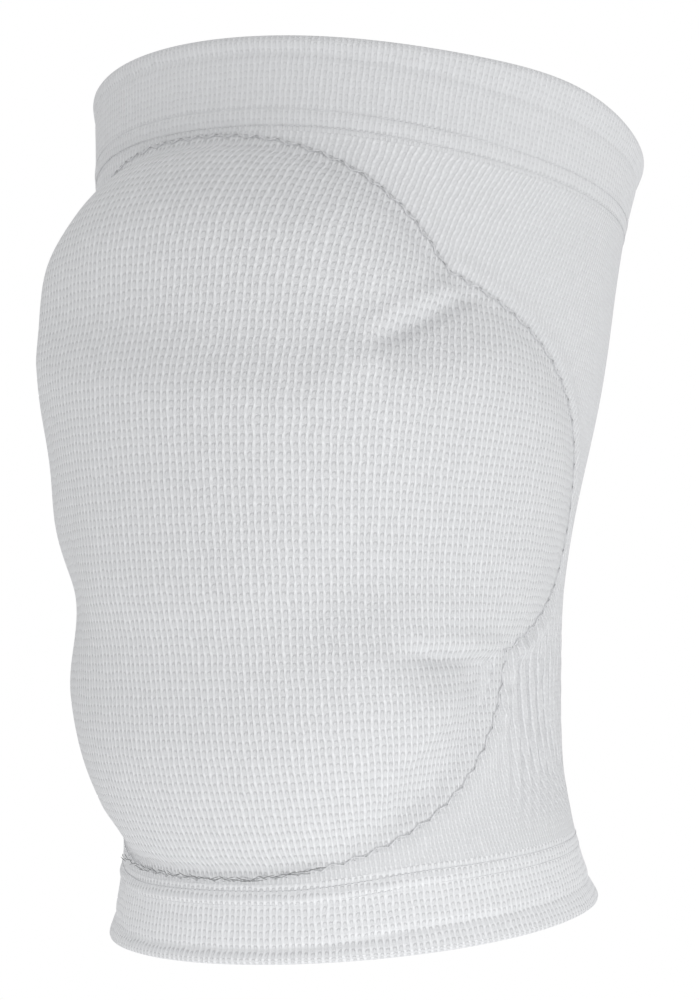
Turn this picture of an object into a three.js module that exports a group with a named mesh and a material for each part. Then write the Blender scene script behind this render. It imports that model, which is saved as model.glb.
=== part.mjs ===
// A pull-on knee pad for volleyball: a knitted tube that follows a slightly bent leg, a folded hem at
// each end, and a foam pad under the knit at the front. The pad has three lobes, one above the kneecap,
// one across it with a wing round each side of the leg, and one below. Four short darts lie between them.
// Millimetres. +Z runs up the leg, the kneecap faces -Y, and the origin is in the middle of the leg
// at the height of the kneecap.
import * as THREE from "three";

// The leg that the knit is shaped by: its middle line is an arc that bows forward just below the kneecap.
const thighLength = 91.3; // kneecap to the top edge, along the leg
const shinLength = 101.2; // kneecap to the bottom edge, along the leg
const bendRadius = 600;
const bendDrop = 23.7; // how far below the kneecap the leg bows forward most
const topRadius = 68.6; // outside of the knit at the top edge

// Outside radius of the knit up the leg, as shares of the length and of topRadius.
const girths = [
  { up: 0.0, radius: 0.852 }, // bottom edge, pulled over the calf
  { up: 0.08, radius: 0.782 },
  { up: 0.17, radius: 0.766 },
  { up: 0.31, radius: 0.764 }, // narrowest, under the knee
  { up: 0.44, radius: 0.799 },
  { up: 0.6, radius: 0.873 }, // kneecap
  { up: 0.745, radius: 0.929 },
  { up: 0.88, radius: 0.953 },
  { up: 1.0, radius: 1.0 }, // top edge, open to the thigh
];

const knitWall = 2;
const hemWall = 2.8; // the knit folded on itself
const topHemHeight = 20;
const bottomHemHeight = 16.4;
const stitchInset = 3.7; // from a hem's inner end to its row of stitches
const stitchDepth = 0.6;
const stitchWidth = 1.6;
const seamGap = 0.35; // between pieces that touch

const padReach = 108; // middle of the kneecap to a wing's tip, round the leg
const padEdge = 2; // thickness where the pad is sewn down
const foamThickness = 16.5;
const padMargin = 0.6; // between the pad's seam and the hems

// The pad's room between the two hems, from the kneecap up and down.
const padAbove = thighLength - topHemHeight - padMargin;
const padBelow = shinLength - bottomHemHeight - padMargin;

// Each lobe is a rounded oval. Heights are shares of padAbove above the kneecap and of padBelow below
// it, width is a share of padReach, and foam and roll are shares of foamThickness and of the oval.
const lobes = [
  { top: 1.0, bottom: -0.6, width: 0.655, square: 2.45, foam: 1.0, roll: 0.5 }, // above the kneecap
  { top: 0.735, bottom: -0.585, width: 1.0, square: 2.24, foam: 0.72, roll: 0.5 }, // across it, with wings
  { top: 0.6, bottom: -1.0, width: 0.71, square: 2.6, foam: 0.92, roll: 0.55 }, // below it
];
const rollPower = 2.5; // above 1, the foam rises steeply from a lobe's edge and levels off further in
const wingThinning = 0.3; // foam lost at a wing's tip, as a share
const wingStart = 0.5; // where a wing begins to thin, as a share of padReach
const lobeSoftness = 0.04; // how softly two lobes run into each other, as a share of the foam

// On either side of the kneecap the foam is thinner than in the lobes above and below it. Places are
// shares of padReach, and of padAbove or padBelow.
const kneeSides = { cut: 0.36, from: 0.15, full: 0.42, top: 0.45, middle: -0.25, bottom: -0.55 };

// Darts run in from the notches between the lobes, the same on both sides. Places are shares of
// padReach, and of padAbove or padBelow, and cut is the share of the foam that a dart takes away.
const darts = [
  { tipAcross: 0.43, tipUp: 0.4, endAcross: 0.62, endUp: 0.62, cut: 0.6 }, // above the wing
  { tipAcross: 0.45, tipUp: -0.4, endAcross: 0.72, endUp: -0.48, cut: 0.6 }, // below the wing
];
const dartWidth = 7.5;
const dartFade = 7; // how far a dart fades out on either side of its tip

const roundSegments = 48;
const sleeveRows = 13;
const hemMiddle = 0.6; // where a hem's plain part ends, as a share of its height
const foldSteps = 4;
const padSpokes = 120;
const padRings = 15;
const padBackRings = 11;
const rimCrowding = 1.3; // above 1, the pad's rings lie closer together towards its seam
const edgeHalvings = 40; // halvings that find the pad's edge in a direction

const sleeveColour = 0xdcdde0;
const hemColour = 0xe0e1e3;
const padColour = 0xd6d8da;
const knitRoughness = 0.92;

// The leg's middle and its forward direction at a distance up the leg from the kneecap.
function legAt(up) {
  const turn = (up + bendDrop) / bendRadius;
  const kneeTurn = bendDrop / bendRadius;
  return {
    centre: new THREE.Vector3(
      0,
      bendRadius * (Math.cos(kneeTurn) - Math.cos(turn)),
      bendRadius * (Math.sin(turn) - Math.sin(kneeTurn)),
    ),
    forward: new THREE.Vector3(0, -Math.cos(turn), Math.sin(turn)),
  };
}

const girthCurve = new THREE.CubicInterpolant(
  girths.map((row) => row.up),
  girths.map((row) => row.radius),
  1,
);

function sleeveRadius(up) {
  const share = (up + shinLength) / (thighLength + shinLength);
  return topRadius * girthCurve.evaluate(THREE.MathUtils.clamp(share, 0, 1))[0];
}

// A point at an angle round the leg from the kneecap, lifted off the outside of the knit.
function onSleeve(angle, up, lift) {
  const { centre, forward } = legAt(up);
  const radius = sleeveRadius(up) + lift;
  return centre
    .add(new THREE.Vector3(radius * Math.sin(angle), 0, 0))
    .addScaledVector(forward, radius * Math.cos(angle));
}

function meshOf(name, points, triangles, colour) {
  const geometry = new THREE.BufferGeometry().setFromPoints(points);
  geometry.setIndex(triangles);
  geometry.computeVertexNormals();
  const material = new THREE.MeshStandardMaterial({ color: colour, roughness: knitRoughness, metalness: 0 });
  const mesh = new THREE.Mesh(geometry, material);
  mesh.name = name;
  return mesh;
}

// A closed ring round the leg. Its outline is a loop of heights and lifts, up the outside, down the inside.
function ringMesh(name, outline, colour) {
  const points = [];
  const triangles = [];
  const count = outline.length;
  for (let i = 0; i < roundSegments; i++) {
    const angle = (2 * Math.PI * i) / roundSegments;
    for (const { up, lift } of outline) points.push(onSleeve(angle, up, lift));
  }
  for (let i = 0; i < roundSegments; i++) {
    const here = i * count;
    const next = ((i + 1) % roundSegments) * count;
    for (let j = 0; j < count; j++) {
      const above = (j + 1) % count;
      triangles.push(here + j, next + j, next + above);
      triangles.push(here + j, next + above, here + above);
    }
  }
  return meshOf(name, points, triangles, colour);
}

function makeSleeve() {
  const low = -shinLength + bottomHemHeight + seamGap;
  const high = thighLength - topHemHeight - seamGap;
  const heights = Array.from({ length: sleeveRows + 1 }, (_, i) => low + ((high - low) * i) / sleeveRows);
  const outside = heights.map((up) => ({ up, lift: 0 }));
  const inside = heights.toReversed().map((up) => ({ up, lift: -knitWall }));
  return ringMesh("sleeve", [...outside, ...inside], sleeveColour);
}

// A hem: knit folded over at its free edge and sewn down by a sunk row of stitches near its inner end.
// side is 1 for the top hem and -1 for the bottom one.
function makeHem(name, side, edge, height) {
  const inner = edge - side * height;
  const row = inner + side * stitchInset;
  const proud = hemWall - knitWall;
  const fold = hemWall / 2;
  const middle = inner + side * height * hemMiddle;
  const outside = [
    { up: inner, lift: 0 },
    { up: inner + side * proud, lift: proud },
    { up: row - (side * stitchWidth) / 2, lift: proud },
    { up: row, lift: proud - stitchDepth },
    { up: row + (side * stitchWidth) / 2, lift: proud },
    { up: middle, lift: proud },
  ];
  const foldPoints = Array.from({ length: foldSteps + 1 }, (_, i) => {
    const turn = (Math.PI * i) / foldSteps;
    return {
      up: edge - side * fold + side * fold * Math.sin(turn),
      lift: proud - fold + fold * Math.cos(turn),
    };
  });
  const inside = [
    { up: middle, lift: -knitWall },
    { up: inner, lift: -knitWall },
  ];
  const outline = [...outside, ...foldPoints, ...inside];
  return ringMesh(name, side > 0 ? outline : outline.toReversed(), hemColour);
}

// How deep a place on the pad lies in a lobe: 0 in its middle, 1 on its edge.
function lobeDepth(lobe, across, up) {
  const top = lobe.top * padAbove;
  const bottom = lobe.bottom * padBelow;
  const x = Math.abs(across) / (lobe.width * padReach);
  const y = Math.abs(up - (top + bottom) / 2) / ((top - bottom) / 2);
  return (x ** lobe.square + y ** lobe.square) ** (1 / lobe.square);
}

// The lobe's foam at a place, as a share: level in its middle and rolled over towards its edge.
function lobeFoam(lobe, across, up) {
  const fromEdge = Math.min(1, Math.max(0, 1 - lobeDepth(lobe, across, up)) / lobe.roll);
  return lobe.foam * (1 - (1 - fromEdge) ** rollPower);
}

// What is left of the foam at either side of the kneecap, as a share.
function sideShare(across, up) {
  const { smoothstep } = THREE.MathUtils;
  const outward = smoothstep(Math.abs(across), kneeSides.from * padReach, kneeSides.full * padReach);
  const middle = kneeSides.middle * padBelow;
  const above = 1 - smoothstep(up, middle, kneeSides.top * padAbove);
  const below = smoothstep(up, kneeSides.bottom * padBelow, middle);
  return 1 - kneeSides.cut * outward * above * below;
}

// What the darts leave of the foam at a place, as a share.
function dartShare(across, up) {
  const place = new THREE.Vector3(Math.abs(across), up, 0);
  return darts.reduce((left, dart) => {
    const height = dart.tipUp > 0 ? padAbove : padBelow;
    const tip = new THREE.Vector3(dart.tipAcross * padReach, dart.tipUp * height, 0);
    const end = new THREE.Vector3(dart.endAcross * padReach, dart.endUp * height, 0);
    const line = new THREE.Line3(tip, end);
    const along = line.closestPointToPointParameter(place, false) * line.distance();
    const aside = line.closestPointToPoint(place, false, new THREE.Vector3()).distanceTo(place);
    const begun = THREE.MathUtils.smoothstep(along, -dartFade, dartFade);
    return left * (1 - dart.cut * begun * Math.exp(-((aside / dartWidth) ** 2)));
  }, 1);
}

// The foam of all lobes together, with a soft valley where two of them meet.
function foamAt(across, up) {
  const shares = lobes.map((lobe) => lobeFoam(lobe, across, up));
  const most = Math.max(...shares);
  const sum = shares.reduce((total, share) => total + Math.exp((share - most) / lobeSoftness), 0);
  const blended = most + lobeSoftness * Math.log(sum / lobes.length);
  const outward = THREE.MathUtils.smoothstep(Math.abs(across), wingStart * padReach, padReach);
  const thinned = (1 - wingThinning * outward) * sideShare(across, up) * dartShare(across, up);
  return foamThickness * Math.max(0, blended) * thinned;
}

// From the middle of the kneecap, how far the pad reaches in a direction: to the edge of its outermost lobe.
function padRadius(direction) {
  const inside = (reach) =>
    lobes.some((lobe) => lobeDepth(lobe, reach * Math.cos(direction), reach * Math.sin(direction)) < 1);
  let near = 0;
  let far = 2 * Math.max(padReach, padAbove, padBelow);
  for (let i = 0; i < edgeHalvings; i++) {
    const middle = (near + far) / 2;
    if (inside(middle)) near = middle;
    else far = middle;
  }
  return near;
}

function makePad() {
  const points = [];
  const triangles = [];
  const place = (spoke, share, isOutside) => {
    const direction = (2 * Math.PI * spoke) / padSpokes;
    const height = Math.sin(direction) > 0 ? padAbove : padBelow;
    const oval = 1 / Math.hypot(Math.cos(direction) / padReach, Math.sin(direction) / height);
    const reach = share * THREE.MathUtils.lerp(oval, padRadius(direction), share ** 2);
    const across = reach * Math.cos(direction);
    const up = reach * Math.sin(direction);
    const foam = isOutside ? padEdge + foamAt(across, up) : 0;
    points.push(onSleeve(across / sleeveRadius(up), up, seamGap + foam));
  };
  // A disc of rings round a middle point, either the outside or the back that lies on the knit.
  const disc = (rings, isOutside) => {
    const first = points.length;
    place(0, 0, isOutside);
    for (let ring = 1; ring <= rings; ring++) {
      const share = 1 - (1 - ring / rings) ** rimCrowding;
      for (let spoke = 0; spoke < padSpokes; spoke++) place(spoke, share, isOutside);
    }
    for (let ring = 0; ring < rings; ring++) {
      for (let spoke = 0; spoke < padSpokes; spoke++) {
        const beside = (spoke + 1) % padSpokes;
        const out = first + 1 + ring * padSpokes;
        const face =
          ring === 0
            ? [first, out + spoke, out + beside]
            : [out - padSpokes + spoke, out + spoke, out + beside, out - padSpokes + beside];
        const fan = face.length === 3 ? [face] : [face.slice(0, 3), [face[0], face[2], face[3]]];
        for (const [a, b, c] of fan) triangles.push(...(isOutside ? [a, b, c] : [a, c, b]));
      }
    }
    return first + 1 + (rings - 1) * padSpokes;
  };
  const outerRim = disc(padRings, true);
  const backRim = disc(padBackRings, false);
  for (let spoke = 0; spoke < padSpokes; spoke++) {
    const beside = (spoke + 1) % padSpokes;
    triangles.push(outerRim + spoke, backRim + spoke, backRim + beside);
    triangles.push(outerRim + spoke, backRim + beside, outerRim + beside);
  }
  return meshOf("knee_pad", points, triangles, padColour);
}

const kneePad = new THREE.Group();
kneePad.add(
  makeSleeve(),
  makeHem("top_hem", 1, thighLength, topHemHeight),
  makeHem("bottom_hem", -1, -shinLength, bottomHemHeight),
  makePad(),
);

export default kneePad;
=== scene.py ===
import math

import bpy
import numpy as np
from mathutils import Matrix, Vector


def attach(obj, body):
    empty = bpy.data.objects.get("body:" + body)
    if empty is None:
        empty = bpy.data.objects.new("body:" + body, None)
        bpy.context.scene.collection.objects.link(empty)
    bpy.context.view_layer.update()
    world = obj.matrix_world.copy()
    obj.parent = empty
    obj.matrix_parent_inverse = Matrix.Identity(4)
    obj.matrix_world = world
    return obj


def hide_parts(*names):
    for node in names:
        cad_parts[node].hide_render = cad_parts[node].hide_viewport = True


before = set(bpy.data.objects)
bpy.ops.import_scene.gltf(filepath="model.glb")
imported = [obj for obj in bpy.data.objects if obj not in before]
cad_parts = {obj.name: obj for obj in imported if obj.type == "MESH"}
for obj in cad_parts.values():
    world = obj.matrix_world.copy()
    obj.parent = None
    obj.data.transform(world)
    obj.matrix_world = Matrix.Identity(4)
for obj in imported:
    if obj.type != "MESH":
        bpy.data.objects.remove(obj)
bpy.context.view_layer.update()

mm = 0.001


# Camera, floor and light
# The pad is seen from the wearer's left front and a little from below, close enough for the rims to
# curve. It hangs well clear of a pale floor, in a white studio with a lamp low in front and one at
# its side.

view_turn = math.radians(37)
view_rise = math.radians(-3.5)
view_distance = 720 * mm
view_centre = Vector((0, 2.7 * mm, 0))


def away_from_pad(turn, rise):
    """A direction away from the pad, turned round it from its front and raised."""
    return Vector((
        math.sin(turn) * math.cos(rise),
        -math.cos(turn) * math.cos(rise),
        math.sin(rise),
    ))


back = away_from_pad(view_turn, view_rise)
bpy.ops.object.camera_add(location=view_centre + back * view_distance)
camera = bpy.context.object
camera.rotation_euler = back.to_track_quat("Z", "Y").to_euler()
camera.data.sensor_width = 36
camera.data.lens = 105.4
bpy.context.scene.camera = camera
bpy.context.scene.view_settings.view_transform = "Standard"

floor_drop = 1400 * mm
bpy.ops.mesh.primitive_plane_add(size=3, location=(0, 0, -floor_drop))
floor = bpy.context.object
floor.name = "floor"
floor_paint = bpy.data.materials.new("floor_paint")
floor_paint.use_nodes = True
floor_shader = floor_paint.node_tree.nodes["Principled BSDF"]
floor_shader.inputs["Base Color"].default_value = (0.85, 0.85, 0.85, 1)
floor_shader.inputs["Roughness"].default_value = 0.9
floor.data.materials.append(floor_paint)


def studio_lamp(name, turn, rise, distance, size, power):
    """A square lamp that faces the pad from a direction counted from the camera's, in degrees."""
    direction = away_from_pad(view_turn + math.radians(turn), math.radians(rise))
    bpy.ops.object.light_add(type="AREA", location=direction * distance)
    lamp = bpy.context.object
    lamp.name = name
    lamp.rotation_euler = direction.to_track_quat("Z", "Y").to_euler()
    lamp.data.size = size
    lamp.data.energy = power


studio_lamp("low_lamp", turn=0, rise=-45, distance=0.55, size=0.4, power=1.02)
studio_lamp("side_lamp", turn=70, rise=0, distance=1.2, size=0.9, power=2.7)

studio = bpy.data.worlds.new("white_studio")
bpy.context.scene.world = studio
studio.use_nodes = True
studio_nodes = studio.node_tree.nodes
soft_light = studio_nodes["Background"]
soft_light.inputs["Color"].default_value = (1, 1, 1, 1)
soft_light.inputs["Strength"].default_value = 0.8
white_paper = studio_nodes.new("ShaderNodeBackground")
white_paper.inputs["Color"].default_value = (1, 1, 1, 1)
seen = studio_nodes.new("ShaderNodeLightPath")
light_or_paper = studio_nodes.new("ShaderNodeMixShader")
studio.node_tree.links.new(seen.outputs["Is Camera Ray"], light_or_paper.inputs[0])
studio.node_tree.links.new(soft_light.outputs[0], light_or_paper.inputs[1])
studio.node_tree.links.new(white_paper.outputs[0], light_or_paper.inputs[2])
studio.node_tree.links.new(light_or_paper.outputs[0], studio_nodes["World Output"].inputs["Surface"])


# Knitted sleeve
# One wall of soft ribbed knit, knitted round in a tube and pulled on over the knee. It runs behind the
# pad from hem to hem, fans out beside the pad's lobes and gathers into upright folds below the wings.

bend_radius = 600 * mm
bend_drop = 23.7 * mm
thigh_length = 91.3 * mm
shin_length = 101.2 * mm
knit_wall = 2 * mm
seam_clearance = 0.01 * mm
stiff_end = 1.7 * mm
bend_y = bend_radius * math.cos(bend_drop / bend_radius)
bend_z = -bend_radius * math.sin(bend_drop / bend_radius)


def places_on_leg(points):
    """Angle round the leg from the kneecap, height up the leg from it, and distance from its middle."""
    y = points[:, 1] - bend_y
    z = points[:, 2] - bend_z
    forward = np.hypot(y, z) - bend_radius
    up = np.arctan2(z, -y) * bend_radius - bend_drop
    return np.arctan2(points[:, 0], forward), up, np.hypot(points[:, 0], forward)


def points_of(piece):
    """The places of a piece's vertices, one row each."""
    flat = np.empty(len(piece.data.vertices) * 3)
    piece.data.vertices.foreach_get("co", flat)
    return flat.reshape(-1, 3)


def inner_wall_curve():
    """A smooth curve of the knit's outside radius up the leg, from the inner walls of the tube."""
    ups, radii = [], []
    for node in ("sleeve", "top_hem", "bottom_hem"):
        _, up, radius = places_on_leg(points_of(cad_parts[node]))
        for height in np.unique(np.round(up, 4)):
            ring = radius[np.abs(up - height) < 0.1 * mm]
            if np.ptp(ring) > 0.995 * knit_wall:
                ups.append(height)
                radii.append(ring.min() + knit_wall)
    return np.polynomial.Polynomial.fit(ups, radii, 7)


wall_curve = inner_wall_curve()


def ease(value, start, end):
    """0 before start, 1 past end, and smooth between them."""
    share = np.clip((value - start) / (end - start), 0, 1)
    return share * share * (3 - 2 * share)


def knit_radius(up):
    """The knit's outside radius up the leg. Its shin end stands off a little, because the fold is stiff."""
    stiff = ease(-up, 66 * mm, 84 * mm) * (1 - 0.5 * ease(-up, 92 * mm, 101 * mm))
    return wall_curve(up) + stiff_end * stiff


def on_leg(angle, up, lift):
    """Points at angles round the leg and heights up it, lifted off the outside of the knit."""
    turn = (up + bend_drop) / bend_radius
    radius = knit_radius(up) + lift
    forward = bend_radius + radius * np.cos(angle)
    y = bend_y - forward * np.cos(turn)
    z = bend_z + forward * np.sin(turn)
    return np.stack([radius * np.sin(angle), y, z], axis=-1)


def wrap_cloth(name, columns, rows, lay):
    """A grid laid round the leg and joined into one closed skin.

    lay takes how far round each crossing is, as a share, and the number of its row. It gives the
    crossing's place and its stitch.
    """
    bpy.ops.object.select_all(action="DESELECT")
    bpy.ops.mesh.primitive_grid_add(x_subdivisions=columns, y_subdivisions=rows, size=1)
    piece = bpy.context.object
    piece.name = piece.data.name = name
    flat = points_of(piece) + 0.5
    places, stitches = lay(flat[:, 0], np.round(flat[:, 1] * rows))
    piece.data.vertices.foreach_set("co", places.ravel())
    corners = np.empty(len(piece.data.loops), dtype=int)
    piece.data.loops.foreach_get("vertex_index", corners)
    piece.data.uv_layers.active.name = "stitches"
    piece.data.uv_layers["stitches"].data.foreach_set("uv", stitches[corners].ravel())
    bpy.ops.object.mode_set(mode="EDIT")
    bpy.ops.mesh.select_all(action="SELECT")
    bpy.ops.mesh.remove_doubles(threshold=0.002 * mm)
    bpy.ops.mesh.normals_make_consistent(inside=False)
    bpy.ops.object.mode_set(mode="OBJECT")
    bpy.ops.object.shade_smooth()
    return piece


# The pad's outline is needed here, because the sleeve is raised along the pad's seam.
pad_reach = 108 * mm
pad_above = 70.7 * mm
pad_below = 84.2 * mm
lobes = [
    {"top": 1.0, "bottom": -0.6, "width": 0.655, "square": 2.45, "foam": 1.0, "roll": 0.5},
    {"top": 0.735, "bottom": -0.585, "width": 1.0, "square": 2.24, "foam": 0.72, "roll": 0.5},
    {"top": 0.6, "bottom": -1.0, "width": 0.71, "square": 2.6, "foam": 0.92, "roll": 0.55},
]


def lobe_depth(lobe, across, up):
    """How deep a place on the pad lies in a lobe: 0 in its middle, 1 on its edge."""
    top = lobe["top"] * pad_above
    bottom = lobe["bottom"] * pad_below
    x = np.abs(across) / (lobe["width"] * pad_reach)
    y = np.abs(up - (top + bottom) / 2) / ((top - bottom) / 2)
    return (x ** lobe["square"] + y ** lobe["square"]) ** (1 / lobe["square"])


def past_seam(across, up):
    """How far a place lies outside the pad's seam, less than nothing on the pad."""
    nudge = 0.5 * mm

    def depth(x, y):
        return np.min([lobe_depth(lobe, x, y) for lobe in lobes], axis=0)

    slope_x = (depth(across + nudge, up) - depth(across - nudge, up)) / (2 * nudge)
    slope_y = (depth(across, up + nudge) - depth(across, up - nudge)) / (2 * nudge)
    return (depth(across, up) - 1) / np.maximum(np.hypot(slope_x, slope_y), 1)


def top_hem_start(angle):
    """The height of the top hem's inner end, which is lower at the sides."""
    return 71.4 * mm - 2.2 * mm * ease(np.abs(angle), math.radians(15), math.radians(75))


def bottom_hem_start(angle):
    """The height of the bottom hem's inner end, which is higher at the sides."""
    return -85.1 * mm + 2.4 * mm * ease(np.abs(angle), math.radians(20), math.radians(60))


sleeve_wales = 340
sleeve_columns = 480
sleeve_course = 1.4 * mm
sleeve_rows_outside = 110
sleeve_rows_inside = 24
sleeve_rows = sleeve_rows_outside + sleeve_rows_inside + 2
welt_from_seam = 3 * mm
fold_spacing = 3.9 * mm
fold_depth = 0.85 * mm
slack_depth = 0.25 * mm


def sleeve_lift(angle, up):
    """The sleeve's folds: the raised edge along the pad's seam and the upright folds under the wings."""
    side = np.degrees(np.abs(angle))
    across = angle * knit_radius(up)
    outside = past_seam(across, up)
    under_wing = ease(up, -72 * mm, -50 * mm) * (1 - ease(up, -40 * mm, -18 * mm))
    pucker = 1 + 0.4 * np.sin(2 * math.pi * up / (5.3 * mm) + 9 * angle + 1.5 * np.sin(up / (4.1 * mm)))
    beside_wing = ease(up, -45 * mm, -25 * mm)
    welt = 0.3 * mm + 0.5 * mm * beside_wing + 0.8 * mm * under_wing * pucker
    welt = welt * np.exp(-(((outside - welt_from_seam) / (1.6 * mm)) ** 2))
    wander = 1.1 * np.sin(up / (13 * mm) + 2 * side / 57)
    folds = np.sin(2 * math.pi * across / fold_spacing + wander)
    depth = fold_depth * ease(side, 74, 92) * (1 - ease(side, 128, 160))
    reach = ease(up, -84 * mm, -66 * mm) * (1 - ease(up, -48 * mm, -20 * mm))
    slack = slack_depth * np.sin(3 * angle + up / (21 * mm)) * np.sin(up / (17 * mm))
    slack = slack * ease(outside, 0, 8 * mm)
    slack = slack * ease(up, -84 * mm, -68 * mm) * (1 - ease(up, 52 * mm, 68 * mm))
    return welt + folds * depth * reach + slack


def lay_sleeve(around, row):
    """How the rows of the sleeve lie: up its outside and back down its inside."""
    angle = (around * 2 - 1) * math.pi
    row = np.where(row == sleeve_rows, 0, row)  # the last row closes the skin
    outside = row <= sleeve_rows_outside
    last = sleeve_rows_outside  # the first and last rows outside are narrow, for a sharp end
    climbed = np.interp(row, (0, 1, last - 1, last), (0, 0.0005, 0.9995, 1))
    fallen = (row - sleeve_rows_outside - 1) / sleeve_rows_inside
    share = np.where(outside, climbed, 1 - fallen)
    low = bottom_hem_start(angle) + seam_clearance
    high = top_hem_start(angle) - seam_clearance
    up = low + (high - low) * share
    lift = sleeve_lift(angle, up) * ease(share, 0, 0.03) * ease(1 - share, 0, 0.03)
    lift = np.where(outside, lift, lift - knit_wall)
    fanning = np.sin(angle) ** 2 * np.where(up > 0, 0.0035, 0.001) / mm * up ** 2 * np.sign(angle)
    stitches = np.stack([
        angle / (2 * math.pi) * sleeve_wales - fanning / (1.1 * mm),
        up / sleeve_course,
    ], axis=-1)
    return on_leg(angle, up, lift), stitches


def step(tree, operation, *values):
    """One Math node of a material. Each value is a number or another node's output."""
    node = tree.nodes.new("ShaderNodeMath")
    node.operation = operation
    for socket, value in zip(node.inputs, values):
        if isinstance(value, bpy.types.NodeSocket):
            tree.links.new(value, socket)
        else:
            socket.default_value = value
    return node.outputs[0]


def ramp(tree, value, start, end):
    """0 where a node's output is at start, 1 where it is at end, and smooth between them."""
    node = tree.nodes.new("ShaderNodeMapRange")
    node.interpolation_type = "SMOOTHSTEP"
    node.inputs["From Min"].default_value = start
    node.inputs["From Max"].default_value = end
    tree.links.new(value, node.inputs["Value"])
    return node.outputs[0]


# In shares of a stitch: where a strand begins and is full, and the loop's half width, half height,
# slant and how far out its line runs.
strand_start, strand_full = 0.24, 0.42
loop_wide, loop_tall = 0.27, 0.46
loop_slant = 0.12
loop_line = 0.75


def knit(name, tone, strand_highlight, bead, pocket_shade, loop_shade, relief):
    """Knitted yarn: upright beaded strands, with a small loop between them at each course, in painted light
    and shade: a painted highlight on the strands and their beads, and painted shade in the pockets between
    the strands and along the loops' lines.

    It follows the piece's own stitches, which its UV map counts, one wale and one course to a unit.
    """
    material = bpy.data.materials.new(name)
    material.use_nodes = True
    tree = material.node_tree
    shader = tree.nodes["Principled BSDF"]
    shader.inputs["Roughness"].default_value = 0.92
    shader.inputs["Specular IOR Level"].default_value = 0.25
    shader.inputs["Sheen Weight"].default_value = 0.1
    shader.inputs["Sheen Roughness"].default_value = 0.6

    stitches = tree.nodes.new("ShaderNodeUVMap")
    stitches.uv_map = "stitches"
    uneven = tree.nodes.new("ShaderNodeTexNoise")
    uneven.inputs["Scale"].default_value = 0.45
    uneven.inputs["Detail"].default_value = 2
    tree.links.new(stitches.outputs[0], uneven.inputs["Vector"])
    parts = tree.nodes.new("ShaderNodeSeparateXYZ")
    tree.links.new(stitches.outputs[0], parts.inputs[0])
    drift = tree.nodes.new("ShaderNodeSeparateColor")
    tree.links.new(uneven.outputs["Color"], drift.inputs[0])
    sideways = step(tree, "SUBTRACT", drift.outputs[0], 0.5)
    upwards = step(tree, "SUBTRACT", drift.outputs[1], 0.5)
    wale = step(tree, "MULTIPLY_ADD", sideways, 0.7, parts.outputs[0])
    course = step(tree, "MULTIPLY_ADD", upwards, 0.9, parts.outputs[1])
    y = step(tree, "SUBTRACT", step(tree, "FRACT", course), 0.5)
    x = step(tree, "SUBTRACT", step(tree, "FRACT", wale), 0.5)

    rib = ramp(tree, step(tree, "ABSOLUTE", x), strand_start, strand_full)
    # The strands bead once a course: the beads shape the relief and carry a painted highlight.
    beat = step(tree, "COSINE", step(tree, "MULTIPLY", course, 2 * math.pi))
    strand = step(tree, "MULTIPLY", rib, step(tree, "MULTIPLY_ADD", beat, bead, 1 - bead))
    x = step(tree, "MULTIPLY_ADD", y, -loop_slant, x)
    wide = step(tree, "POWER", step(tree, "ABSOLUTE", step(tree, "DIVIDE", x, loop_wide)), 3)
    tall = step(tree, "POWER", step(tree, "ABSOLUTE", step(tree, "DIVIDE", y, loop_tall)), 3)
    away = step(tree, "POWER", step(tree, "ADD", wide, tall), 1 / 3)
    pocket = ramp(tree, away, 1.15, loop_line)
    loop = ramp(tree, step(tree, "ABSOLUTE", step(tree, "SUBTRACT", away, loop_line)), 0.42, 0.05)
    loop = step(tree, "MULTIPLY", loop, ramp(tree, y, -0.2, 0.3))

    fuzz = tree.nodes.new("ShaderNodeTexNoise")
    fuzz.inputs["Scale"].default_value = 7
    fuzz.inputs["Detail"].default_value = 5
    fuzz.inputs["Roughness"].default_value = 0.65
    tree.links.new(stitches.outputs[0], fuzz.inputs["Vector"])
    # The relief: strands stand up, pockets and loop lines sink, the loop lines as deep as their painted
    # shade is strong.
    height = step(tree, "MULTIPLY_ADD", pocket, -0.4, strand)
    height = step(tree, "MULTIPLY_ADD", loop, -3 * loop_shade, height)
    height = step(tree, "MULTIPLY_ADD", fuzz.outputs["Fac"], 0.7, height)
    bump = tree.nodes.new("ShaderNodeBump")
    bump.inputs["Strength"].default_value = relief
    bump.inputs["Distance"].default_value = 0.3 * mm
    tree.links.new(height, bump.inputs["Height"])
    tree.links.new(bump.outputs[0], shader.inputs["Normal"])

    # Colour: painted shade in the pockets, a painted highlight on the strands and beads, painted shade
    # along the loop lines; then the yarn's own uneven tone.
    shade = step(tree, "MULTIPLY_ADD", pocket, -pocket_shade, 1.0)
    shade = step(tree, "MULTIPLY_ADD", strand, strand_highlight, shade)
    shade = step(tree, "MULTIPLY_ADD", loop, -loop_shade, shade)
    for speckle, share in ((fuzz.outputs["Fac"], 0.35), (drift.outputs[2], 0.08)):
        shade = step(tree, "MULTIPLY_ADD", step(tree, "SUBTRACT", speckle, 0.5), share, shade)
    yarn = tree.nodes.new("ShaderNodeVectorMath")
    yarn.operation = "SCALE"
    yarn.inputs[0].default_value = (tone * 0.99, tone, tone * 1.02)
    tree.links.new(shade, yarn.inputs["Scale"])
    tree.links.new(yarn.outputs[0], shader.inputs["Base Color"])
    return material


sleeve = wrap_cloth("sleeve_knit", columns=sleeve_columns, rows=sleeve_rows, lay=lay_sleeve)
sleeve.data.materials.append(knit(
    "sleeve_yarn", 0.72, strand_highlight=0.16, bead=0.35, pocket_shade=0.03, loop_shade=0.06, relief=0.65,
))
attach(sleeve, "root")
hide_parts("sleeve")


# Folded hems
# At each end the knit is turned in on itself and sewn down with two rows of stitches. The fold at the
# free edge is thick and rounded, and the band between the rows of stitches is puffed up.

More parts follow.
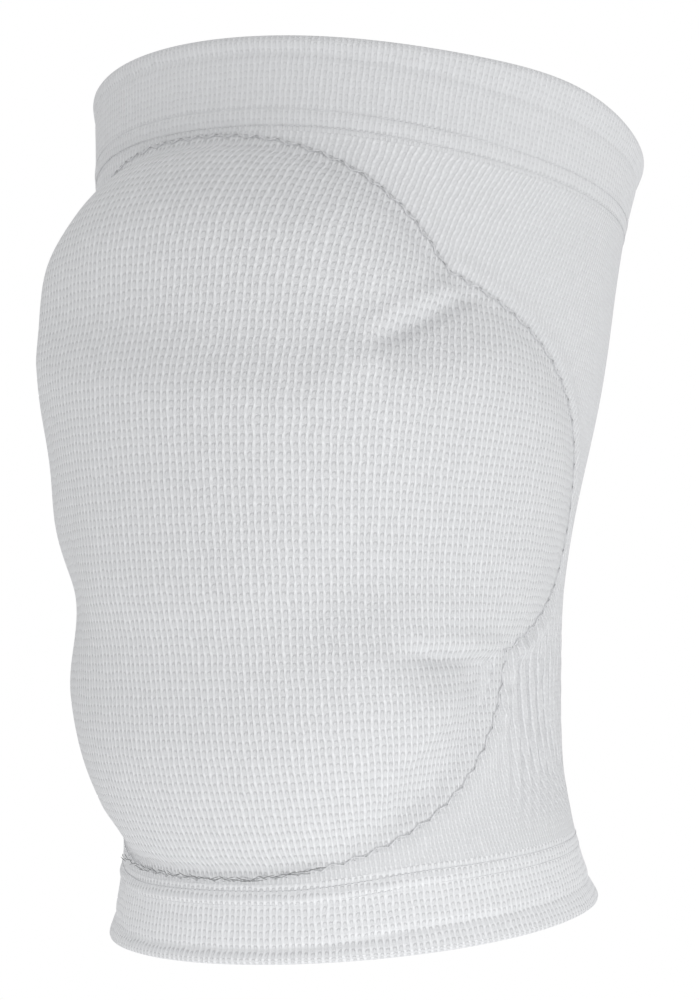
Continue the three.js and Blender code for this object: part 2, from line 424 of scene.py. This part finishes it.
hem_fold = 1.5 * mm
hem_proud = 0.15 * mm
hem_course = 1.45 * mm
hem_end_row = 0.1 * mm
hem_rows_outside = 32
hem_rows_round = 6
hem_rows_inside = 8
hem_rows = hem_rows_outside + hem_rows_round + hem_rows_inside + 1
# The hems are one yarn, but tone paints the bottom hem lighter and the top hem darker: painted light on the
# bottom hem's puffed front under the pad, painted shade on the top hem. Loop sets how strong the painted
# shade in each hem's pockets and loop lines is.
hems = [
    {"node": "top_hem", "start": top_hem_start, "edge": thigh_length, "side": 1, "wales": 310,
     "stitch_rows": (1.1 * mm, 4.6 * mm), "sunk": 0.09 * mm, "puff": 0.25 * mm, "roll": 16.2 * mm,
     "shoulder": 1.7 * mm, "tone": 0.722, "loop": 0.09, "flat": (0.41, 0.022)},
    {"node": "bottom_hem", "start": bottom_hem_start, "edge": -shin_length, "side": -1, "wales": 240,
     "stitch_rows": (1.4 * mm, 4.2 * mm), "sunk": 0.04 * mm, "puff": 0.45 * mm, "roll": 13 * mm,
     "shoulder": 0, "tone": 0.795, "loop": 0.17, "flat": (0.35, 0.018)},
]


def hem_height(hem, angle):
    """How high the hem is as far as its fold begins. Its edge rises to a shoulder at each side."""
    from_side = (np.abs(angle) - math.radians(80)) / math.radians(22)
    shoulder = hem["shoulder"] * np.exp(-(from_side ** 2))
    return hem["side"] * (hem["edge"] - hem["start"](angle)) - hem_fold + shoulder


def hem_lift(hem, angle, inset):
    """How far the hem's outside stands off the knit, at a distance from its inner end."""
    lower, upper = hem["stitch_rows"]
    height = hem_height(hem, angle)
    wale = np.cos(angle * hem["wales"])
    lift = hem_proud * ease(inset, 0, 4 * mm)
    for stitch_row in hem["stitch_rows"]:
        lift = lift - hem["sunk"] * (1 + wale) * np.exp(-(((inset - stitch_row) / (0.6 * mm)) ** 2))
    between = np.clip((inset - lower) / (upper - lower), 0, 1)
    side = np.abs(angle)
    puff = hem["puff"] * (1 - 0.8 * ease(side, math.radians(45), math.radians(80)))
    lift = lift + puff * np.sin(between ** 1.7 * math.pi)
    lift = lift - 0.4 * mm * np.exp(-(((inset - hem["roll"]) / (0.8 * mm)) ** 2))
    lift = lift + 0.3 * mm * ease(inset, hem["roll"], height)
    return lift + 0.03 * mm * wale * ease(inset, 2 * mm, 4 * mm)


def hem_lay(hem):
    """How the rows of a hem lie: up its outside, round its folded edge and back down its inside."""

    def lay(around, row):
        angle = (around * 2 - 1) * math.pi
        row = np.where(row == hem_rows, 0, row)  # the last row closes the skin
        inner = hem["start"](angle)
        height = hem_height(hem, angle)
        climbed = np.clip((row - 1) / (hem_rows_outside - 1), 0, 1)
        inset = np.interp(row, (0, 1), (0, hem_end_row)) + (height - hem_end_row) * climbed
        folded = np.clip((row - hem_rows_outside) / hem_rows_round, 0, 1) * math.pi
        past_fold = row - hem_rows_outside - hem_rows_round
        returned = np.clip(past_fold / hem_rows_inside, 0, 1)
        outer = hem_lift(hem, angle, inset)
        lift = (outer - knit_wall) / 2 + (outer + knit_wall) / 2 * np.cos(folded)
        reach = (inset + hem_fold * np.sin(folded)) * (1 - returned)
        up = inner + hem["side"] * reach
        course = up / hem_course + hem["side"] * (folded + returned)
        stitches = np.stack([angle / (2 * math.pi) * hem["wales"], course], axis=-1)
        return on_leg(angle, up, lift), stitches

    return lay


for hem in hems:
    band = wrap_cloth(hem["node"] + "_band", columns=hem["wales"] * 3, rows=hem_rows, lay=hem_lay(hem))
    band.data.materials.append(knit(
        hem["node"] + "_yarn", hem["tone"], strand_highlight=0.07, bead=0.3, pocket_shade=0.4 * hem["loop"],
        loop_shade=hem["loop"], relief=0.6,
    ))
    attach(band, "root")
    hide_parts(hem["node"])


# Knee pad
# Moulded foam under a coarser knit cover, sewn down all round on the front of the sleeve. It has a lobe
# above the kneecap, one across it with wings, and one below, and a dart sewn in from each notch.

foam_thickness = 16.5 * mm
wing_thinning = 0.3
knee_sides = {"cut": 0.36, "from": 0.15, "full": 0.42, "top": 0.45, "middle": -0.25, "bottom": -0.55}
darts = [
    {"tip": (46 * mm, 26.5 * mm), "end": (68 * mm, 39.5 * mm), "cut": 0.45, "crease": 1.8 * mm},
    {"tip": (47 * mm, -38 * mm), "end": (77 * mm, -40.5 * mm), "cut": 0.35, "crease": 1.3 * mm},
]
dart_width = 7.5 * mm
dart_fade = 7 * mm
pad_wale = 1.8 * mm
pad_course = 1.75 * mm
pad_radius = 77 * mm
foam_roll_power = 2.5
lobe_softness = 0.04


def dart_places(dart, across, up):
    """How far along a dart from its tip, and how far beside it, places on the pad lie."""
    tip = np.array(dart["tip"])
    line = np.array(dart["end"]) - tip
    length = np.hypot(*line)
    x = np.abs(across) - tip[0]
    y = up - tip[1]
    along = (x * line[0] + y * line[1]) / length
    aside = (x * line[1] - y * line[0]) / length
    return along, aside


def foam_height(across, up):
    """How high the pad's foam stands off the sleeve."""
    shares = []
    for lobe in lobes:
        from_edge = np.clip(1 - lobe_depth(lobe, across, up), 0, lobe["roll"]) / lobe["roll"]
        shares.append(lobe["foam"] * (1 - (1 - from_edge) ** foam_roll_power))
    most = np.max(shares, axis=0)
    total = sum(np.exp((share - most) / lobe_softness) for share in shares)
    blended = np.maximum(0, most + lobe_softness * np.log(total / len(lobes)))
    wing = 1 - wing_thinning * ease(np.abs(across), 0.5 * pad_reach, pad_reach)
    sides = knee_sides
    beside = ease(np.abs(across), sides["from"] * pad_reach, sides["full"] * pad_reach)
    over = 1 - ease(up, sides["middle"] * pad_below, sides["top"] * pad_above)
    under = ease(up, sides["bottom"] * pad_below, sides["middle"] * pad_below)
    left = wing * (1 - sides["cut"] * beside * over * under)
    for dart in darts:
        along, aside = dart_places(dart, across, up)
        begun = ease(along, -dart_fade, dart_fade)
        left = left * (1 - dart["cut"] * begun * np.exp(-((aside / dart_width) ** 2)))
    return foam_thickness * blended * left


def pad_edge(direction):
    """From the middle of the kneecap, how far the pad's seam is in a direction."""
    near = np.zeros_like(direction)
    far = np.full_like(direction, 2 * pad_reach)
    for _ in range(40):
        middle = (near + far) / 2
        x, y = middle * np.cos(direction), middle * np.sin(direction)
        inside = np.min([lobe_depth(lobe, x, y) for lobe in lobes], axis=0) < 1
        near = np.where(inside, middle, near)
        far = np.where(inside, far, middle)
    return near


pad_rows_front = 31
pad_rows_behind = 8
pad_rows = pad_rows_front + 1 + pad_rows_behind
pad_edge_thickness = 0.2 * mm
pad_clearance = 0.08 * mm


def lay_pad(around, row):
    """How the rows of the pad lie: out over its front to the seam and back in behind it."""
    direction = around * 2 * math.pi
    front = 1 - (1 - np.clip(row / pad_rows_front, 0, 1)) ** 1.3
    behind = 1 - (row - pad_rows_front - 1) / pad_rows_behind
    is_front = row <= pad_rows_front
    share = np.where(is_front, front, behind)
    height = np.where(np.sin(direction) > 0, pad_above, pad_below)
    oval = 1 / np.hypot(np.cos(direction) / pad_reach, np.sin(direction) / height)
    reach = share * (oval + (pad_edge(direction) - oval) * share ** 2)
    across, up = reach * np.cos(direction), reach * np.sin(direction)
    foam = np.where(is_front, pad_edge_thickness + foam_height(across, up), 0)
    angle = across / knit_radius(up)
    lean = np.where(up > 0, 0.002, 0.0006) / mm * up ** 2
    stitches = np.stack([(angle * pad_radius - lean) / pad_wale, up / pad_course], axis=-1)
    return on_leg(angle, up, pad_clearance + foam), stitches


def puff_up(piece, frames, most):
    """Blows the cover up a little like stuffed cloth, held where it is sewn down."""
    angle, up, radius = places_on_leg(points_of(piece))
    across = angle * knit_radius(up)
    sewn = piece.vertex_groups.new(name="sewn")
    lift = radius - knit_radius(up)
    held = np.clip(1 - (lift - 1.5 * mm) / (3 * mm), 0, 1)
    for dart in darts:
        along, aside = dart_places(dart, across, up)
        held = np.maximum(held, (along > 0) * np.exp(-((aside / (2.5 * mm)) ** 2)))
    for index, weight in enumerate(held):
        sewn.add([index], float(weight), "REPLACE")
    before = points_of(piece)
    cloth = piece.modifiers.new("cover", "CLOTH")
    cloth.settings.vertex_group_mass = "sewn"
    cloth.settings.use_pressure = True
    cloth.settings.uniform_pressure_force = 4
    cloth.settings.effector_weights.gravity = 0
    cloth.settings.tension_stiffness = 20
    cloth.settings.compression_stiffness = 20
    cloth.settings.bending_stiffness = 2
    cloth.collision_settings.use_collision = False
    cloth.point_cache.frame_start = 1
    cloth.point_cache.frame_end = frames
    for now in range(1, frames + 1):
        bpy.context.scene.frame_set(now)
    bpy.context.view_layer.objects.active = piece
    bpy.ops.object.modifier_apply(modifier=cloth.name)
    bpy.context.scene.frame_set(1)
    moved = points_of(piece) - before
    length = np.linalg.norm(moved, axis=1, keepdims=True)
    moved = moved * np.minimum(1, most / np.maximum(length, 1e-9))
    piece.data.vertices.foreach_set("co", (before + moved).ravel())


# The line that the kneecap's upper edge follows, as places across and up, and how far it steps in.
knee_line = np.array([
    (-75, 40), (-51, 33), (-28, 23), (-13, 20), (3, 17.5),
    (18, 16), (31, 14), (38, 19), (44, 24), (75, 40),
]) * mm
kneecap_step = 2.7 * mm
shin_margin_depth = 3.5 * mm
# The side away from the camera is fuller at two heights: height, spread and most.
far_fullness = [(46 * mm, 15 * mm, 3.4 * mm), (-11 * mm, 13 * mm, 3.2 * mm)]
pucker_spacing = 5.3 * mm
pad_slack_depth = 0.18 * mm


def pad_details(across, up):
    """Where the cover is drawn in or stands out: darts, kneecap, shin foam, far side and seam."""
    moved = np.zeros_like(up)
    for dart in darts:
        along, aside = dart_places(dart, across, up)
        begun = ease(along, -4 * mm, 4 * mm)
        moved = moved - dart["crease"] * begun * np.exp(-((aside / (1.7 * mm)) ** 2))
        moved = moved + 0.7 * dart["crease"] * begun * np.exp(-(((aside + 4 * mm) / (2.4 * mm)) ** 2))
    over_knee = up - np.interp(across, knee_line[:, 0], knee_line[:, 1])
    middle = 1 - ease(np.abs(across), 45 * mm, 66 * mm)
    sunk = ease(over_knee, -3 * mm, 13 * mm) * (1 - ease(over_knee, 13 * mm, 38 * mm))
    moved = moved - kneecap_step * middle * sunk
    inside = -past_seam(across, up)
    margin = ease(inside, 1 * mm, 6 * mm) * (1 - ease(inside, 11 * mm, 17 * mm))
    beside_shin = ease(np.abs(across), 38 * mm, 50 * mm) * (1 - ease(up, -44 * mm, -36 * mm))
    moved = moved - shin_margin_depth * margin * beside_shin
    far_side = ease(-across, 22 * mm, 44 * mm) * ease(inside, 4 * mm, 16 * mm)
    for height, spread, most in far_fullness:
        moved = moved + most * np.exp(-(((up - height) / spread) ** 2)) * far_side
    pucker = 0.5 + 0.5 * np.cos(2 * math.pi * (across + 0.6 * up) / pucker_spacing)
    moved = moved - mm * (0.4 + 0.25 * pucker ** 2) * np.exp(-(((inside - 1.5 * mm) / (1.5 * mm)) ** 2))
    slack = np.sin(across / (9 * mm) + up / (23 * mm)) * np.sin(up / (11 * mm) - across / (31 * mm))
    return moved + pad_slack_depth * slack * ease(inside, 4 * mm, 14 * mm)


pad = wrap_cloth("pad_cover", columns=128, rows=pad_rows, lay=lay_pad)
puff_up(pad, frames=20, most=2 * mm)
smoother = pad.modifiers.new("smoother", "SUBSURF")
smoother.levels = smoother.render_levels = 2
bpy.context.view_layer.objects.active = pad
bpy.ops.object.modifier_apply(modifier=smoother.name)
angle, up, radius = places_on_leg(points_of(pad))
lift = radius - knit_radius(up)
across = angle * knit_radius(up)
lift = lift + pad_details(across, up) * ease(lift, 0.7 * mm, 2.2 * mm)
inside = -past_seam(across, up)
shin_corner = ease(np.abs(across), 22 * mm, 40 * mm) * (1 - ease(up, -44 * mm, -36 * mm))
drawn_at_corner = 0.65 * shin_corner * (1 - ease(inside, 4 * mm, 11 * mm))
drawn_at_seam = 0.45 * (1 - ease(inside, 1 * mm, 5 * mm))
drawn_down = np.maximum(drawn_at_corner, drawn_at_seam)
lift = lift - np.maximum(lift - pad_clearance - pad_edge_thickness, 0) * drawn_down
pad.data.vertices.foreach_set("co", on_leg(angle, up, lift).ravel())
pad.data.materials.append(knit(
    "pad_yarn", 0.718, strand_highlight=0.16, bead=0.4, pocket_shade=0.04, loop_shade=0.16, relief=0.7,
))
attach(pad, "root")
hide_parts("knee_pad")


# Sewing thread
# The hems are sewn down with two rows of short stitches, and the pad with one zigzag row all round. Short
# dark grey dashes between the hem stitches are painted shade in the gaps, and dark grey ticks along the
# pad's seam are the zigzag's painted shadow. Grey thread from below is tangled into the row at the front of
# the lower seam.


def stitch_shape():
    """The points and triangles of one stitch: a thread one unit long and of radius 1, along X."""
    bpy.ops.object.select_all(action="DESELECT")
    bpy.ops.mesh.primitive_cylinder_add(vertices=6, radius=1, depth=1, end_fill_type="TRIFAN")
    model = bpy.context.object
    bpy.ops.object.mode_set(mode="EDIT")
    bpy.ops.mesh.select_all(action="SELECT")
    bpy.ops.mesh.bisect(plane_co=(0, 0, 0), plane_no=(0, 0, 1))
    bpy.ops.mesh.select_all(action="SELECT")
    bpy.ops.mesh.quads_convert_to_tris()
    bpy.ops.object.mode_set(mode="OBJECT")
    points = points_of(model)[:, [2, 0, 1]]
    faces = np.array([face.vertices for face in model.data.polygons])
    bpy.data.objects.remove(model)
    return points, faces


def sew(name, ends, radius, material):
    """Thread laid as stitches between pairs of places, bowed outwards and joined into one piece."""
    shape, faces = stitch_shape()
    start, end = ends
    middle = (start + end) / 2
    run = end - start
    length = np.linalg.norm(run, axis=1, keepdims=True)
    run = run / length
    outward = middle * (1, 1, 0)
    outward = outward / np.linalg.norm(outward, axis=1, keepdims=True)
    aside = np.cross(outward, run)
    outward = np.cross(run, aside)
    bow = 1 - (2 * shape[:, 0]) ** 2
    girth = radius * (0.6 + 0.4 * bow)
    along = shape[:, 0] * (1 + 2 * radius / length)
    points = (
        middle[:, None] + run[:, None] * (along * length)[..., None]
        + outward[:, None] * (girth * shape[:, 1] + 0.8 * radius * bow)[None, :, None]
        + aside[:, None] * (girth * shape[:, 2])[None, :, None]
    )
    triangles = faces[None] + (np.arange(len(middle)) * len(shape))[:, None, None]
    mesh = bpy.data.meshes.new(name)
    mesh.from_pydata(points.reshape(-1, 3).tolist(), [], triangles.reshape(-1, 3).tolist())
    thread = bpy.data.objects.new(name, mesh)
    bpy.context.collection.objects.link(thread)
    mesh.materials.append(material)
    bpy.ops.object.select_all(action="DESELECT")
    thread.select_set(True)
    bpy.context.view_layer.objects.active = thread
    bpy.ops.object.mode_set(mode="EDIT")
    bpy.ops.mesh.select_all(action="SELECT")
    bpy.ops.mesh.normals_make_consistent(inside=False)
    bpy.ops.object.mode_set(mode="OBJECT")
    bpy.ops.object.shade_smooth()
    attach(thread, "root")


def thread_material(name, colour):
    """Dull thread of one colour, with fine fibres that are lighter and darker."""
    material = bpy.data.materials.new(name)
    material.use_nodes = True
    tree = material.node_tree
    shader = tree.nodes["Principled BSDF"]
    shader.inputs["Roughness"].default_value = 0.8
    place = tree.nodes.new("ShaderNodeTexCoord")
    fibres = tree.nodes.new("ShaderNodeTexNoise")
    fibres.inputs["Scale"].default_value = 900
    tree.links.new(place.outputs["Object"], fibres.inputs["Vector"])
    tone = tree.nodes.new("ShaderNodeVectorMath")
    tone.operation = "SCALE"
    tone.inputs[0].default_value = colour
    fibre_tone = step(tree, "MULTIPLY_ADD", fibres.outputs["Fac"], 0.5, 0.75)
    tree.links.new(fibre_tone, tone.inputs["Scale"])
    tree.links.new(tone.outputs[0], shader.inputs["Base Color"])
    return material


white_thread = thread_material("white_thread", (0.7, 0.705, 0.72))
# Grey thread for the tangle, also used for the dark grey dashes and ticks that are painted shade.
grey_thread_and_painted_shade = thread_material("grey_thread_and_painted_shade", (0.24, 0.245, 0.25))


def hem_rows_of_thread(hem, offset, half, lift):
    """The two ends of every stitch in a hem's rows, one to a wale. Offset and half are shares of a wale."""
    wale = 2 * math.pi / hem["wales"]
    middles = (np.arange(hem["wales"]) + offset) * wale - math.pi
    return [
        np.concatenate([
            on_leg(middles + way * half * wale, hem["start"](middles) + hem["side"] * stitch_row,
                   hem_lift(hem, middles, stitch_row) + lift)
            for stitch_row in hem["stitch_rows"]
        ])
        for way in (-1, 1)
    ]


stitch_radius = 0.1 * mm
shade_dash_radius = 0.05 * mm
for hem in hems:
    stitches = hem_rows_of_thread(hem, offset=0.5, half=0.3, lift=0.03 * mm)
    sew(hem["node"] + "_stitches", stitches, stitch_radius, white_thread)
    # Dark grey dashes halfway between the white stitches: painted shade in the gaps between them.
    painted_shade_dashes = hem_rows_of_thread(hem, offset=1, half=0.16, lift=0.02 * mm)
    sew(hem["node"] + "_painted_shade_dashes", painted_shade_dashes, shade_dash_radius, grey_thread_and_painted_shade)


def seam_line(spacing):
    """Places all along the pad's seam, one spacing apart, and the way outwards from the pad at each."""
    direction = np.linspace(0, 2 * math.pi, 4000)
    reach = pad_edge(direction)
    across, up = reach * np.cos(direction), reach * np.sin(direction)
    run = np.concatenate([[0], np.cumsum(np.hypot(np.diff(across), np.diff(up)))])
    at = np.arange(0, run[-1], run[-1] / round(run[-1] / spacing))
    across, up = np.interp(at, run, across), np.interp(at, run, up)
    places = np.stack([across, up], axis=-1)
    ahead = np.roll(places, -1, axis=0) - np.roll(places, 1, axis=0)
    ahead = ahead / np.linalg.norm(ahead, axis=1, keepdims=True)
    return places, np.stack([ahead[:, 1], -ahead[:, 0]], axis=-1)


def on_seam(places, lift):
    """Points of places across and up the pad, lifted off the outside of the knit."""
    across, up = places[:, 0], places[:, 1]
    return on_leg(across / knit_radius(up), up, lift)


seam, outwards = seam_line(spacing=2.6 * mm)
swing = np.where(np.arange(len(seam)) % 2, 0.6 * mm, -0.5 * mm)[:, None]
zigzag = on_seam(seam + outwards * swing, np.where(swing[:, 0] > 0, 0.25 * mm, 0.6 * mm))
sew("seam_stitches", (zigzag, np.roll(zigzag, -1, axis=0)), 0.15 * mm, white_thread)
along = np.stack([-outwards[:, 1], outwards[:, 0]], axis=-1)
# Dark grey ticks across the zigzag: its painted shadow, longer on the upper arch of the seam.
half_shadow_tick = 0.15 * mm + 0.4 * mm * ease(seam[:, 1:], 25 * mm, 55 * mm)
painted_shade_dashes = [on_seam(seam + 0.3 * mm * outwards + way * half_shadow_tick * along, 0.4 * mm) for way in (-1, 1)]
sew("seam_painted_shade_dashes", painted_shade_dashes, shade_dash_radius, grey_thread_and_painted_shade)

tangle_knots = np.array([(-34, -81.8), (-20, -83), (0, -83.6), (16, -83.7), (29, -82.1)]) * mm
strands = 56
jumps = np.random.default_rng(7)
middle = np.linspace(tangle_knots[0, 0], tangle_knots[-1, 0], strands)
ends = []
for way in (-1, 1):
    across = middle + way * jumps.uniform(0.7, 1.5, strands) * mm
    up = np.interp(across, tangle_knots[:, 0], tangle_knots[:, 1]) + jumps.uniform(-0.6, 0.6, strands) * mm
    ends.append(on_seam(np.stack([across, up], axis=-1), jumps.uniform(1.4, 2.1, strands) * mm))
sew("grey_tangle", ends, stitch_radius, grey_thread_and_painted_shade)
